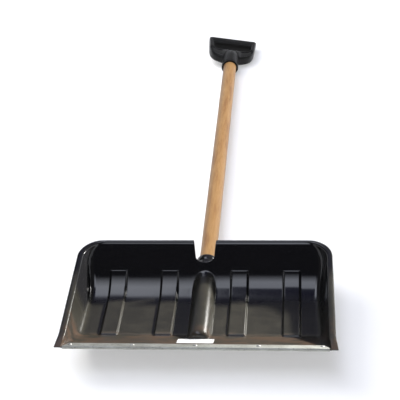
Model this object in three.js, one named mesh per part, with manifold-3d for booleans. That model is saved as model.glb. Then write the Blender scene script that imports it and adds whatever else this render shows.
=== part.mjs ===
// Snow shovel: moulded plastic scoop with socket, metal wear strip, wooden handle and plastic D-grip.
// Millimetres. X across the scoop, Y from the leading edge to the grip, Z up with the hollow side up.
// Shapes are drawn in a working frame whose Y and Z start at the middle of the leading edge, with Y
// parallel to the handle, and are moved at the end so that the origin is at the bottom centre.
import * as THREE from 'three';
import Module from 'manifold-3d';

const wasm = await Module();
wasm.setup();

// ---- driving dimensions ------------------------------------------------------------------------
const SCOOP_WIDTH = 530;
const CORNER_FLARE = 4;
const FLARE_LENGTH = 38;
const SIDE_FLANGE = 13;
const CHORD_ANGLE = 4.7 * Math.PI / 180;
const RIM_OUTER = 306;
const RIM_INNER = 299;
const RIM_RADIUS = 50;
const WALL = 3;
const DRAFT = Math.tan(11 * Math.PI / 180);
const LIP_ANGLE = 29 * Math.PI / 180;
const FLOOR_Z = -51;
const FLOOR_END_Y = 190;
const CURVE_RADIUS = 90;
const BACK_ANGLE = 50 * Math.PI / 180;
const RIBS = [[58, 87.5], [166.5, 195.5]];
const RIB_HEIGHT = 4.5;
const RIB_FLANK = 5;
const AXIS_Z = -47;
const SOCKET_R = 23;
const SOCKET_START = 90;
const HUMP_START = 65;
const SOCKET_MOUTH = 320;
const BORE_R = 18.3;
const HANDLE_R = 18;
const HANDLE_START = 118.5;
const GRIP_MOUTH = 1230;
const GRIP_DEPTH = 45;
const GRIP_LENGTH = 164;
const GRIP_HALF_WIDTH = 70;
const GRIP_SHOULDER_HALF = 66.5;
const GRIP_SHOULDER = 58;
const GRIP_THICK = 28;
const GRIP_BAR = 34;
const HAND_HOLE = { half: 54, length: 38, cornerRadius: 10 };
const GRIP_SLEEVE_R = 23.5;
const GRIP_TWIST = 9 * Math.PI / 180;
const STRIP_LEG = 25;
const STRIP_T = 1.2;
const GAP = 0.3;
const RIVET_X = [-240, -120, 0, 120, 240];
const RIVET_P = 13;
const LABEL = { x0: -38.5, x1: 32.5, p0: 37, p1: 72, t: 0.3 };
const ORIGIN_Y = 695.66;
const ORIGIN_Z = -71.2;

// ---- materials ---------------------------------------------------------------------------------
const black = new THREE.MeshStandardMaterial({ name: 'black_plastic', color: 0x17181c, roughness: 0.3 });
const gripBlack = new THREE.MeshStandardMaterial({ name: 'grip_plastic', color: 0x202126, roughness: 0.55 });
const metal = new THREE.MeshStandardMaterial({
  name: 'aluminium', color: 0xb9bcba, roughness: 0.35, metalness: 1,
});
const steel = new THREE.MeshStandardMaterial({ name: 'steel', color: 0x9a9c9e, roughness: 0.3, metalness: 1 });
const wood = new THREE.MeshStandardMaterial({ name: 'wood', color: 0xc3966a, roughness: 0.6 });
const paper = new THREE.MeshStandardMaterial({ name: 'label_paper', color: 0xf4f4f2, roughness: 0.7 });

// ---- helpers -----------------------------------------------------------------------------------
function solidFrom(geometry) {
  const g = geometry.index ? geometry.toNonIndexed() : geometry;
  const pos = g.attributes.position.array;
  const keys = new Map();
  const verts = [];
  const tris = [];
  for (let i = 0; i < pos.length; i += 3) {
    const key = [pos[i], pos[i + 1], pos[i + 2]].map((v) => Math.round(v * 1e4)).join(',');
    if (!keys.has(key)) {
      keys.set(key, verts.length / 3);
      verts.push(pos[i], pos[i + 1], pos[i + 2]);
    }
    tris.push(keys.get(key));
  }
  const clean = [];
  for (let i = 0; i < tris.length; i += 3) {
    const [a, b, c] = [tris[i], tris[i + 1], tris[i + 2]];
    if (a !== b && b !== c && a !== c) {
      clean.push(a, b, c);
    }
  }
  return new wasm.Manifold(new wasm.Mesh({
    numProp: 3,
    vertProperties: new Float32Array(verts),
    triVerts: new Uint32Array(clean),
  }));
}

function geometryFrom(solid) {
  const m = solid.getMesh();
  const g = new THREE.BufferGeometry();
  const flat = new Float32Array(m.triVerts.length * 3);
  m.triVerts.forEach((v, i) => {
    flat[i * 3] = m.vertProperties[v * m.numProp];
    flat[i * 3 + 1] = m.vertProperties[v * m.numProp + 1];
    flat[i * 3 + 2] = m.vertProperties[v * m.numProp + 2];
  });
  g.setAttribute('position', new THREE.BufferAttribute(flat, 3));
  g.computeVertexNormals();
  return g;
}

// Turned body about the handle axis; profile points are [radius, y].
function turned(profile, segments = 36) {
  const g = new THREE.LatheGeometry(profile.map(([r, y]) => new THREE.Vector2(r, y)), segments);
  g.translate(0, 0, AXIS_Z);
  return g;
}

// Pin along a direction through a point; profile points are [radius, height along the direction].
function pin(profile, at, direction, segments = 16) {
  const g = new THREE.LatheGeometry(profile.map(([r, h]) => new THREE.Vector2(r, h)), segments);
  g.applyQuaternion(new THREE.Quaternion().setFromUnitVectors(new THREE.Vector3(0, 1, 0), direction));
  g.translate(at.x, at.y, at.z);
  return g;
}

// Turns a piece of the grip about the handle axis.
function twisted(geometry) {
  geometry.translate(0, 0, -AXIS_Z);
  geometry.rotateY(GRIP_TWIST);
  geometry.translate(0, 0, AXIS_Z);
  return geometry;
}

const chordPoint = (u, d) => [
  u * Math.cos(CHORD_ANGLE) + d * Math.sin(CHORD_ANGLE),
  u * Math.sin(CHORD_ANGLE) - d * Math.cos(CHORD_ANGLE),
];
const toChord = (y, z) => [
  y * Math.cos(CHORD_ANGLE) + z * Math.sin(CHORD_ANGLE),
  y * Math.sin(CHORD_ANGLE) - z * Math.cos(CHORD_ANGLE),
];
// Point on the lip: p along the slope from the leading edge, q out of its upper face.
const lipPoint = (p, q) => [
  p * Math.cos(LIP_ANGLE) + q * Math.sin(LIP_ANGLE),
  -p * Math.sin(LIP_ANGLE) + q * Math.cos(LIP_ANGLE),
];
const lipNormal = new THREE.Vector3(0, Math.sin(LIP_ANGLE), Math.cos(LIP_ANGLE));

// ---- side profile of the scoop floor as [u, depth below the rim plane] ---------------------------
function floorProfile() {
  const pts = [];
  const add = (y, z) => pts.push(toChord(y, z));
  const knee = -FLOOR_Z / Math.tan(LIP_ANGLE);
  const kneeR = 26;
  const tangent = kneeR * Math.tan(LIP_ANGLE / 2);
  for (const f of [0, 0.14, 0.3, 0.5, 0.75, 1]) {
    const p = f * (knee / Math.cos(LIP_ANGLE) - tangent);
    add(...lipPoint(p, 0));
  }
  for (const a of [0.66, 0.33, 0]) {
    const t = LIP_ANGLE * a;
    add(knee + tangent - kneeR * Math.sin(t), FLOOR_Z + kneeR * (1 - Math.cos(t)));
  }
  for (const y of [128, 160, FLOOR_END_Y]) {
    add(y, FLOOR_Z);
  }
  const turn = 9;
  for (let i = 1; i <= turn; i += 1) {
    const t = BACK_ANGLE * i / turn;
    add(FLOOR_END_Y + CURVE_RADIUS * Math.sin(t), FLOOR_Z + CURVE_RADIUS * (1 - Math.cos(t)));
  }
  const [u1, d1] = pts[pts.length - 1];
  for (const f of [0.1, 0.3, 0.55, 0.8, 0.93]) {
    pts.push([u1 + (RIM_INNER - u1) * f, d1 * (1 - f)]);
  }
  pts.push([RIM_INNER + 0.6, 0.35]);
  pts.push([RIM_INNER + 3, 0]);
  pts.push([RIM_OUTER, 0]);
  return pts;
}

function halfOuter(u) {
  const flare = CORNER_FLARE * Math.max(0, 1 - u / FLARE_LENGTH) ** 1.5;
  const past = Math.max(0, u - (RIM_OUTER - RIM_RADIUS));
  return SCOOP_WIDTH / 2 + flare - (RIM_RADIUS - Math.sqrt(RIM_RADIUS ** 2 - Math.min(past, RIM_RADIUS) ** 2));
}

function halfInner(u) {
  const r = RIM_RADIUS - (RIM_OUTER - RIM_INNER);
  const past = Math.min(Math.max(0, u - (RIM_INNER - r)), r);
  const flare = CORNER_FLARE * Math.max(0, 1 - u / FLARE_LENGTH) ** 1.5;
  const side = SCOOP_WIDTH / 2 - SIDE_FLANGE + flare;
  return side - (r - Math.sqrt(r * r - past * past));
}

// How far a rib stands out of the floor at x, u (0 to 1).
const RIB_U = [toChord(86, FLOOR_Z)[0], toChord(91, FLOOR_Z)[0], 253, 256.5];
function ribLift(x, u) {
  let across = 0;
  for (const [a, b] of RIBS) {
    const inside = Math.min(Math.abs(x) - a, b - Math.abs(x));
    across = Math.max(across, Math.min(1, Math.max(0, inside / RIB_FLANK + 1)));
  }
  const up = Math.min(1, Math.max(0, (u - RIB_U[0]) / (RIB_U[1] - RIB_U[0])));
  const down = Math.min(1, Math.max(0, (RIB_U[3] - u) / (RIB_U[3] - RIB_U[2])));
  return across * Math.min(up, down);
}

// One half of a cross-section as [x, depth], from the outer edge of the flange to the centre.
function section(u, depth) {
  const outer = halfOuter(u);
  const top = Math.min(halfInner(u), outer - 2);
  const round = Math.min(4, depth * 0.3);
  const fillet = Math.min(12, depth * 0.45);
  const foot = top - DRAFT * depth;
  const flat = Math.min(foot - fillet * 0.83, top - 3);
  const out = [[outer, 0]];
  const spread = Math.max(round * 0.8, 0.8);
  out.push([top + spread * 0.9, 0]);
  out.push([top + spread * 0.2, round * 0.22]);
  out.push([Math.min(top - DRAFT * round, top - 0.6), round]);
  const wallEnd = depth - fillet * 0.82;
  const wx = Math.min(top - DRAFT * wallEnd, top - 1.2);
  out.push([wx, Math.max(wallEnd, round)]);
  for (const t of [0.36, 0.7]) {
    const a = t * Math.PI / 2;
    out.push([
      wx - (wx - flat) * (1 - Math.cos(a)),
      Math.max(wallEnd, round) + (depth - Math.max(wallEnd, round)) * Math.sin(a),
    ]);
  }
  out.push([flat, depth]);
  const xs = [];
  for (const [a, b] of [...RIBS].reverse()) {
    xs.push(b + RIB_FLANK, b, a, a - RIB_FLANK);
  }
  for (const x of [xs[0], xs[1], xs[2], xs[3], 126, xs[4], xs[5], xs[6], xs[7], 28, 0]) {
    out.push([x, depth - RIB_HEIGHT * ribLift(x, u)]);
  }
  return out;
}

// Grid of points of the hollow face; rows run from the leading edge to the rim.
function hollowFace() {
  const us = floorProfile();
  const extra = RIB_U.map((u) => [u, null]);
  const depthAt = (u) => {
    for (let i = 1; i < us.length; i += 1) {
      if (u <= us[i][0]) {
        const f = (u - us[i - 1][0]) / (us[i][0] - us[i - 1][0]);
        return us[i - 1][1] + f * (us[i][1] - us[i - 1][1]);
      }
    }
    return 0;
  };
  const keep = us.filter(([u]) => RIB_U.every((r) => Math.abs(r - u) > 2));
  const rows = keep.concat(extra.map(([u]) => [u, depthAt(u)])).sort((a, b) => a[0] - b[0]);
  return rows.map(([u, depth]) => {
    const half = section(u, Math.max(depth, 0));
    const left = half.slice(0, -1).map(([x, d]) => [-x, d]);
    return left.concat([...half].reverse()).map(([x, d]) => {
      const [y, z] = chordPoint(u, d);
      return new THREE.Vector3(x, y, z);
    });
  });
}

function shellFrom(grid, thickness) {
  const rows = grid.length;
  const cols = grid[0].length;
  const at = (r, c) => r * cols + c;
  const top = grid.flat();
  const normals = top.map(() => new THREE.Vector3());
  const faces = [];
  for (let r = 0; r < rows - 1; r += 1) {
    for (let c = 0; c < cols - 1; c += 1) {
      faces.push([at(r, c), at(r, c + 1), at(r + 1, c + 1)], [at(r, c), at(r + 1, c + 1), at(r + 1, c)]);
    }
  }
  for (const [a, b, c] of faces) {
    const n = new THREE.Vector3().crossVectors(
      top[b].clone().sub(top[a]),
      top[c].clone().sub(top[a]),
    );
    if (n.length() > 1e-6) {
      n.normalize();
      [a, b, c].forEach((i) => normals[i].add(n));
    }
  }
  const under = top.map((p, i) => p.clone().addScaledVector(normals[i].normalize(), -thickness));
  const pos = [];
  const n = top.length;
  const all = top.concat(under);
  const put = (...ids) => ids.forEach((i) => pos.push(all[i].x, all[i].y, all[i].z));
  for (const [a, b, c] of faces) {
    put(a, b, c);
    put(n + a, n + c, n + b);
  }
  const edge = [];
  for (let c = 0; c < cols - 1; c += 1) {
    edge.push([at(0, c), at(0, c + 1)]);
  }
  for (let r = 0; r < rows - 1; r += 1) {
    edge.push([at(r, cols - 1), at(r + 1, cols - 1)]);
  }
  for (let c = cols - 1; c > 0; c -= 1) {
    edge.push([at(rows - 1, c), at(rows - 1, c - 1)]);
  }
  for (let r = rows - 1; r > 0; r -= 1) {
    edge.push([at(r, 0), at(r - 1, 0)]);
  }
  for (const [a, b] of edge) {
    put(n + a, n + b, b);
    put(n + a, b, a);
  }
  const g = new THREE.BufferGeometry();
  g.setAttribute('position', new THREE.BufferAttribute(new Float32Array(pos), 3));
  return g;
}

// ---- scoop ---------------------------------------------------------------------------------------
const nose = (start) => [
  [0, start], [12.6, start + 0.5], [19, start + 3], [22.2, start + 8], [SOCKET_R, start + 16],
];
const socketCup = turned([
  ...nose(SOCKET_START),
  [SOCKET_R, SOCKET_MOUTH - 14], [SOCKET_R + 1.2, SOCKET_MOUTH - 12], [SOCKET_R + 1.2, SOCKET_MOUTH],
  [BORE_R, SOCKET_MOUTH], [BORE_R, HANDLE_START - 0.5], [0, HANDLE_START - 0.5],
], 32);
const socketPlug = turned([
  [0, SOCKET_START + 3], [15, SOCKET_START + 4], [20.5, SOCKET_START + 9], [21.3, SOCKET_START + 18],
  [21.3, SOCKET_MOUTH], [0, SOCKET_MOUTH],
], 32);

// The hump runs on over the lip in front of the socket: a turned body kept only above the plastic.
const HUMP_END = 112;
const hump = turned([...nose(HUMP_START), [SOCKET_R, HUMP_END], [0, HUMP_END]], 32);
function aboveFloor() {
  const knee = -FLOOR_Z / Math.tan(LIP_ANGLE);
  const low = HUMP_START - 6;
  const sunk = WALL / 2;
  const s = new THREE.Shape();
  s.moveTo(low, -low * Math.tan(LIP_ANGLE) - sunk);
  s.lineTo(knee, FLOOR_Z - sunk);
  s.lineTo(HUMP_END + 2, FLOOR_Z - sunk);
  s.lineTo(HUMP_END + 2, 0);
  s.lineTo(low, 0);
  s.closePath();
  const half = SOCKET_R + 5;
  const g = new THREE.ExtrudeGeometry(s, { depth: 2 * half, bevelEnabled: false });
  g.translate(0, 0, -half);
  g.rotateY(Math.PI / 2);
  g.rotateX(Math.PI / 2);
  return g;
}

// Notch in the back wall, drawn in the plane of the wall and cut through it.
function notchCutter() {
  const s = new THREE.Shape();
  s.moveTo(-24.5, 62);
  s.lineTo(-23.4, 44);
  s.lineTo(-20.5, 17);
  s.absarc(0, 15.5, 20.2, Math.PI, Math.PI * 1.28, false);
  s.lineTo(-7, 0.2);
  s.lineTo(0, -0.4);
  s.lineTo(7, 0.2);
  s.absarc(0, 15.5, 20.2, -Math.PI * 0.28, 0, false);
  s.lineTo(20.5, 17);
  s.lineTo(23.4, 44);
  s.lineTo(24.5, 62);
  s.closePath();
  const g = new THREE.ExtrudeGeometry(s, { depth: 36, bevelEnabled: false, curveSegments: 5 });
  g.translate(0, 0, -17);
  g.rotateX(BACK_ANGLE);
  g.translate(0, 274.2, -9.6);
  return g;
}

const screwAt = [
  { name: 'socket_screw_1', y: 170, r: SOCKET_R },
  { name: 'socket_screw_2', y: 280, r: SOCKET_R },
  { name: 'grip_screw', y: GRIP_MOUTH + 22, r: GRIP_SLEEVE_R },
];
const DOWN = new THREE.Vector3(0, 0, -1);
const screwHole = (s) => pin(
  [[0, 4], [2.5, 4], [2.5, s.r - 2.7], [4.5, s.r - 2.7], [4.5, s.r + 4], [0, s.r + 4]],
  new THREE.Vector3(0, s.y, AXIS_Z),
  DOWN,
);
const screwBody = (s) => pin(
  [[0, 6], [2.1, 7], [2.1, s.r - 2.4], [4.1, s.r - 2.4], [4.1, s.r - 1.2], [3, s.r - 0.4], [0, s.r - 0.3]],
  new THREE.Vector3(0, s.y, AXIS_Z),
  DOWN,
);

function rivetAt(x) {
  const [y, z] = lipPoint(RIVET_P, 0);
  return new THREE.Vector3(x, y, z);
}
const rivetHole = (x) => pin([[0, -9], [2.4, -9], [2.4, 6], [0, 6]], rivetAt(x), lipNormal, 12);

let scoop = solidFrom(shellFrom(hollowFace(), WALL));
scoop = scoop.subtract(solidFrom(notchCutter()));
scoop = scoop.subtract(solidFrom(socketPlug));
scoop = scoop.add(solidFrom(hump).intersect(solidFrom(aboveFloor())));
scoop = scoop.add(solidFrom(socketCup));
for (const x of RIVET_X) {
  scoop = scoop.subtract(solidFrom(rivetHole(x)));
}
for (const s of screwAt.slice(0, 2)) {
  scoop = scoop.subtract(solidFrom(screwHole(s)));
}

// ---- wear strip: folded over the leading edge, ends trimmed to follow the side walls -------------
function wearStrip() {
  const o = GAP + STRIP_T;
  const under = -WALL - GAP;
  const loop = [
    [STRIP_LEG, GAP], [STRIP_LEG, o], [1, o], [-0.9, o - 0.6], [-o, GAP - 0.5],
    [-o, under + 0.5], [-0.9, under - STRIP_T + 0.6], [1, under - STRIP_T],
    [STRIP_LEG, under - STRIP_T], [STRIP_LEG, under], [-GAP, under], [-GAP, GAP],
  ];
  const end = (p) => 252.2 - 0.4 * Math.max(0, p - 3);
  const rings = [-1, 1].map((side) => loop.map(([p, q]) => {
    const [y, z] = lipPoint(p, q);
    return new THREE.Vector3(side * end(p), y, z);
  }));
  const pos = [];
  const put = (...v) => v.forEach((p) => pos.push(p.x, p.y, p.z));
  const n = loop.length;
  for (let i = 0; i < n; i += 1) {
    const j = (i + 1) % n;
    put(rings[0][i], rings[1][j], rings[1][i]);
    put(rings[0][i], rings[0][j], rings[1][j]);
  }
  const contour = loop.map(([p, q]) => new THREE.Vector2(p, q));
  for (const [a, b, c] of THREE.ShapeUtils.triangulateShape(contour, [])) {
    put(rings[0][a], rings[0][c], rings[0][b]);
    put(rings[1][a], rings[1][b], rings[1][c]);
  }
  const g = new THREE.BufferGeometry();
  g.setAttribute('position', new THREE.BufferAttribute(new Float32Array(pos), 3));
  let solid = solidFrom(g);
  for (const x of RIVET_X) {
    solid = solid.subtract(solidFrom(rivetHole(x)));
  }
  return geometryFrom(solid);
}

const rivetTop = GAP + STRIP_T + 0.1;
const rivetUnder = -WALL - GAP - STRIP_T - 0.1;
const rivet = (x) => pin([
  [0, rivetUnder - 1.2], [3.6, rivetUnder - 1.2], [4, rivetUnder - 0.8], [4, rivetUnder], [2.1, rivetUnder],
  [2.1, rivetTop], [4.2, rivetTop], [3.8, rivetTop + 1], [2.2, rivetTop + 1.8], [0, rivetTop + 2],
], rivetAt(x), lipNormal, 14);

// ---- handle --------------------------------------------------------------------------------------
const handleEnd = GRIP_MOUTH + GRIP_DEPTH - 0.5;
let handle = solidFrom(turned([
  [0, HANDLE_START], [HANDLE_R - 3, HANDLE_START], [HANDLE_R, HANDLE_START + 3],
  [HANDLE_R, handleEnd - 3], [HANDLE_R - 3, handleEnd], [0, handleEnd],
], 36));
for (const s of screwAt.slice(0, 2)) {
  handle = handle.subtract(solidFrom(screwHole(s)));
}
handle = handle.subtract(solidFrom(twisted(screwHole(screwAt[2]))));

// ---- D-grip --------------------------------------------------------------------------------------
const gripTop = GRIP_MOUTH + GRIP_LENGTH;
const gripNeck = GRIP_MOUTH + 36;
const EDGE_INSET = 4;
const EDGE_DEPTH = 6;

// The D is drawn inset and hole-widened by EDGE_INSET, which its rounded edges then give back.
function gripFrame() {
  const half = GRIP_HALF_WIDTH - EDGE_INSET;
  const shoulder = GRIP_SHOULDER_HALF - EDGE_INSET;
  const shoulderY = gripTop - GRIP_SHOULDER;
  const top = gripTop - EDGE_INSET;
  const corner = 4;
  const s = new THREE.Shape();
  s.moveTo(-17, gripNeck);
  s.lineTo(17, gripNeck);
  s.bezierCurveTo(21, gripNeck + 18, shoulder - 3, gripNeck + 8, shoulder, shoulderY);
  s.lineTo(half, top - corner);
  s.absarc(half - corner, top - corner, corner, 0, Math.PI / 2, false);
  s.lineTo(corner - half, top);
  s.absarc(corner - half, top - corner, corner, Math.PI / 2, Math.PI, false);
  s.lineTo(-shoulder, shoulderY);
  s.bezierCurveTo(3 - shoulder, gripNeck + 8, -21, gripNeck + 18, -17, gripNeck);
  const hole = HAND_HOLE.half + EDGE_INSET;
  const holeTop = gripTop - GRIP_BAR + EDGE_INSET;
  const holeLow = gripTop - GRIP_BAR - HAND_HOLE.length - EDGE_INSET;
  const sideLow = holeLow + EDGE_INSET + 16;
  const round = HAND_HOLE.cornerRadius + EDGE_INSET;
  const h = new THREE.Path();
  h.moveTo(-14, holeLow);
  h.bezierCurveTo(10 - hole, holeLow, -hole, holeLow + 4, -hole, sideLow);
  h.lineTo(-hole, holeTop - round);
  h.absarc(round - hole, holeTop - round, round, Math.PI, Math.PI / 2, true);
  h.lineTo(hole - round, holeTop);
  h.absarc(hole - round, holeTop - round, round, Math.PI / 2, 0, true);
  h.lineTo(hole, sideLow);
  h.bezierCurveTo(hole, holeLow + 4, hole - 10, holeLow, 14, holeLow);
  h.closePath();
  s.holes.push(h);
  const g = new THREE.ExtrudeGeometry(s, {
    depth: GRIP_THICK - 2 * EDGE_DEPTH,
    bevelEnabled: true,
    bevelThickness: EDGE_DEPTH,
    bevelSize: EDGE_INSET,
    bevelSegments: 3,
    curveSegments: 6,
  });
  g.translate(0, 0, EDGE_DEPTH - GRIP_THICK / 2 + AXIS_Z);
  return g;
}

const sleeve = turned([
  [0, GRIP_MOUTH + 1], [GRIP_SLEEVE_R - 1, GRIP_MOUTH], [GRIP_SLEEVE_R, GRIP_MOUTH + 1],
  [GRIP_SLEEVE_R, GRIP_MOUTH + 44], [21.8, GRIP_MOUTH + 58], [18, GRIP_MOUTH + 73],
  [12, GRIP_MOUTH + 82], [0, GRIP_MOUTH + 82],
], 36);
const gripBore = turned([
  [0, GRIP_MOUTH - 10], [BORE_R, GRIP_MOUTH - 10], [BORE_R, GRIP_MOUTH + GRIP_DEPTH],
  [0, GRIP_MOUTH + GRIP_DEPTH],
], 36);
const gripCut = solidFrom(gripFrame()).add(solidFrom(sleeve)).subtract(solidFrom(gripBore))
  .subtract(solidFrom(screwHole(screwAt[2])));

// ---- label ---------------------------------------------------------------------------------------
function labelPlate() {
  const g = new THREE.BoxGeometry(LABEL.x1 - LABEL.x0, LABEL.p1 - LABEL.p0, LABEL.t);
  g.rotateX(-LIP_ANGLE);
  const [y, z] = lipPoint((LABEL.p0 + LABEL.p1) / 2, 0.15 + LABEL.t / 2);
  g.translate((LABEL.x0 + LABEL.x1) / 2, y, z);
  return g;
}

// ---- assembly ------------------------------------------------------------------------------------
const shovel = new THREE.Group();
shovel.name = 'snow_shovel';
function add(name, geometry, material) {
  geometry.deleteAttribute('uv');
  geometry.translate(0, -ORIGIN_Y, -ORIGIN_Z);
  const mesh = new THREE.Mesh(geometry, material);
  mesh.name = name;
  shovel.add(mesh);
}
add('scoop', geometryFrom(scoop), black);
add('wear_strip', wearStrip(), metal);
RIVET_X.forEach((x, i) => add(`strip_rivet_${i + 1}`, geometryFrom(solidFrom(rivet(x))), steel));
add('handle', geometryFrom(handle), wood);
add('d_grip', twisted(geometryFrom(gripCut)), gripBlack);
add('socket_screw_1', geometryFrom(solidFrom(screwBody(screwAt[0]))), steel);
add('socket_screw_2', geometryFrom(solidFrom(screwBody(screwAt[1]))), steel);
add('grip_screw', twisted(geometryFrom(solidFrom(screwBody(screwAt[2])))), steel);
add('blank_label', labelPlate(), paper);

export default shovel;
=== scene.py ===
# Snow shovel: fine meshes, materials, light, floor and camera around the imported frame.
# Shapes are worked out in millimetres in a working frame, with Y and Z from the middle of the
# leading edge and Y parallel to the handle, and are moved to the row frame, in metres, at the end.
import math
import bmesh
import bpy
import numpy as np
from mathutils import Matrix, Vector


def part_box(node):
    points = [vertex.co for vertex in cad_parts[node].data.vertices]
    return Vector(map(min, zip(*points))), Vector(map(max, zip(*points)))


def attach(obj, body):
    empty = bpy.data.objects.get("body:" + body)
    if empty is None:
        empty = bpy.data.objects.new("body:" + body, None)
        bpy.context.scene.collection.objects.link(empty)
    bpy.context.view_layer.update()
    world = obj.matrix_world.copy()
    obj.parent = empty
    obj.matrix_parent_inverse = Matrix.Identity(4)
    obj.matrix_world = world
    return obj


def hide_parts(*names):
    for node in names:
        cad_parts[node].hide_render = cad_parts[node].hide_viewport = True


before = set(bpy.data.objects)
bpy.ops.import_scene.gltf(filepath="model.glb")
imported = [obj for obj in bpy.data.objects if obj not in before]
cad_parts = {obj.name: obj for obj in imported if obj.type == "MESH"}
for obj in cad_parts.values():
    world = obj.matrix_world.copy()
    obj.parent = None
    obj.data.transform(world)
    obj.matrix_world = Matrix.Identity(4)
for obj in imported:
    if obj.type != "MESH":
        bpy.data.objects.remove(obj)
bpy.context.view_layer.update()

# ---- sizes, in millimetres: the CAD model's, and those of the finer shapes ----
CHORD = math.radians(4.7)
LIP = math.radians(29)
BACK = math.radians(50)
DRAFT = math.radians(11)
RIM_INNER = 299
RIM_OUTER = 306
INNER_R = 43
OUTER_R = 50
INNER_HALF = 252
OUTER_HALF = 265
FLARE = 4
FLARE_LENGTH = 38
WALL = 3
WALL_FILLET = 13
FLANGE_CROWN = 1.1
FLOOR_Z = -51
FLOOR_END = 190
RIM_FILLET = 3.8
CURVE_R = 90
KNEE_R = 26
RIBS = [(58, 87.5), (166.5, 195.5)]
RIB_HEIGHT = 4.5
RIB_FLANK = 5
AXIS_Z = -47
SOCKET_R = 23
SOCKET_START = 90
HUMP_START = 65
HUMP_FLARE = 3.5
HUMP_FLARE_Y = (236, 262)
HUMP_FILLET = 4
HUMP_FILLET_END = 2.8
HUMP_FILLET_Y = (215, 250)
SOCKET_NOSE = 16
SOCKET_MOUTH = 320
COLLAR_R = 24.2
BORE_R = 18.3
NOTCH_HALF = 20.3
NOTCH_FLARE = 4
NOTCH_BOTTOM = 17
NOTCH_ARC = 15.5
HANDLE_R = 18
HANDLE_START = 118.5
HANDLE_END = 1274.5
GRIP_MOUTH = 1230
GRIP_LENGTH = 164
GRIP_DEPTH = 45
GRIP_HALF = 70
GRIP_SHOULDER_HALF = 66.5
GRIP_SHOULDER = 58
GRIP_CORNER = 7
GRIP_NECK = 34
GRIP_BAR = 34
HAND_HOLE_HALF = 54
HAND_HOLE_LENGTH = 38
HAND_HOLE_CORNER = 10
GRIP_THICK = 28
SLEEVE_R = 23.5
SLEEVE_END = 82
SLEEVE_END_R = 12
GRIP_TWIST = math.radians(9)
STRIP_LEG = 25
STRIP_T = 1.2
STRIP_HALF = 252.2
GAP = 0.3
RIVET_X = [-240, -120, 0, 120, 240]
RIVET_P = 13
RIVET_HOLE_R = 2.4
LABEL_X = (-38.5, 32.5)
LABEL_P = (37, 72)
LABEL_T = 0.3
LABEL_LIFT = 0.15
SCREWS = [
    ("socket_screw_1", 170, SOCKET_R, 0),
    ("socket_screw_2", 280, SOCKET_R, 0),
    ("grip_screw", GRIP_MOUTH + 22, SLEEVE_R, GRIP_TWIST),
]

# The working frame's place in the row frame comes from the handle's box.
handle_low, handle_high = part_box("handle")
ORIGIN_Y = HANDLE_END - handle_high.y * 1000
ORIGIN_Z = AXIS_Z - (handle_low.z + handle_high.z) / 2 * 1000


def to_row(points):
    """Working frame, millimetres, to row frame, metres."""
    return (np.asarray(points, float) - [0, ORIGIN_Y, ORIGIN_Z]) / 1000


# ---- mesh helpers ----
def added(name, data):
    """A new object in the scene, from a mesh, light or camera."""
    thing = bpy.data.objects.new(name, data)
    bpy.context.scene.collection.objects.link(thing)
    return thing


def solid(name, points, faces):
    """A mesh object from working-frame points, with its faces pointing out."""
    mesh = bpy.data.meshes.new(name)
    mesh.from_pydata(to_row(points).tolist(), [], faces)
    bm = bmesh.new()
    bm.from_mesh(mesh)
    bmesh.ops.recalc_face_normals(bm, faces=bm.faces)
    bm.to_mesh(mesh)
    bm.free()
    return added(name, mesh)


def join_or_cut(piece, tool, operation):
    """Joins the tool to the piece (UNION) or cuts it away (DIFFERENCE), and deletes the tool."""
    change = piece.modifiers.new("boolean", "BOOLEAN")
    change.operation = operation
    change.solver = "MANIFOLD"
    change.object = tool
    graph = bpy.context.evaluated_depsgraph_get()
    piece.data = bpy.data.meshes.new_from_object(piece.evaluated_get(graph))
    piece.modifiers.clear()
    bpy.data.objects.remove(tool)
    return piece


def finish_piece(piece, material, slot, *nodes, sharp=40):
    """Shading, material, body and the CAD nodes that the piece stands for; the slot argument is not used."""
    mesh = piece.data
    mesh.shade_smooth()
    mesh.set_sharp_from_angle(angle=math.radians(sharp))
    mesh.materials.clear()
    mesh.materials.append(material)
    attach(piece, "root")
    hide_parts(*nodes)
    return piece


def lathe(profile, segments):
    """Points and faces of a turned body about +Y; the profile's (radius, y) points close on themselves
    or end on the axis."""
    points = []
    rings = []
    for radius, y in profile:
        if radius < 1e-6:
            rings.append([len(points)] * segments)
            points.append((0, y, 0))
            continue
        rings.append(list(range(len(points), len(points) + segments)))
        for k in range(segments):
            a = 2 * math.pi * k / segments
            points.append((radius * math.sin(a), y, radius * math.cos(a)))
    pairs = list(zip(rings, rings[1:]))
    if profile[0][0] > 1e-6:
        pairs.append((rings[-1], rings[0]))
    faces = []
    for first, second in pairs:
        for k in range(segments):
            n = (k + 1) % segments
            corner = [first[k], first[n], second[n], second[k]]
            corner = list(dict.fromkeys(corner))
            if len(corner) > 2:
                faces.append(corner)
    return np.array(points, float), faces


def arc(centre, radius, start, end, steps):
    """Points of an arc in the plane, angles in degrees."""
    turns = np.radians(np.linspace(start, end, steps))
    return [(centre[0] + radius * math.cos(t), centre[1] + radius * math.sin(t)) for t in turns]


def on_axis(name, profile, segments, twist=0.0):
    """A body turned about the handle's axis."""
    points, faces = lathe(profile, segments)
    points[:, 2] += AXIS_Z
    return solid(name, twisted(points, twist), faces)


def twisted(points, angle):
    """Points turned about the handle's axis, as the grip is."""
    turned = np.array(points, float)
    x = turned[:, 0].copy()
    z = turned[:, 2] - AXIS_Z
    turned[:, 0] = x * math.cos(angle) + z * math.sin(angle)
    turned[:, 2] = AXIS_Z - x * math.sin(angle) + z * math.cos(angle)
    return turned


def along(points, at, direction):
    """A body turned about +Y, stood at a point with +Y in the direction."""
    turn = np.array(Vector((0, 1, 0)).rotation_difference(Vector(direction)).to_matrix())
    return points @ turn.T + np.array(at, float)


def lip_point(p, q):
    """p down the lip from the leading edge, q out of its upper face."""
    return (p * math.cos(LIP) + q * math.sin(LIP), -p * math.sin(LIP) + q * math.cos(LIP))


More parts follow.
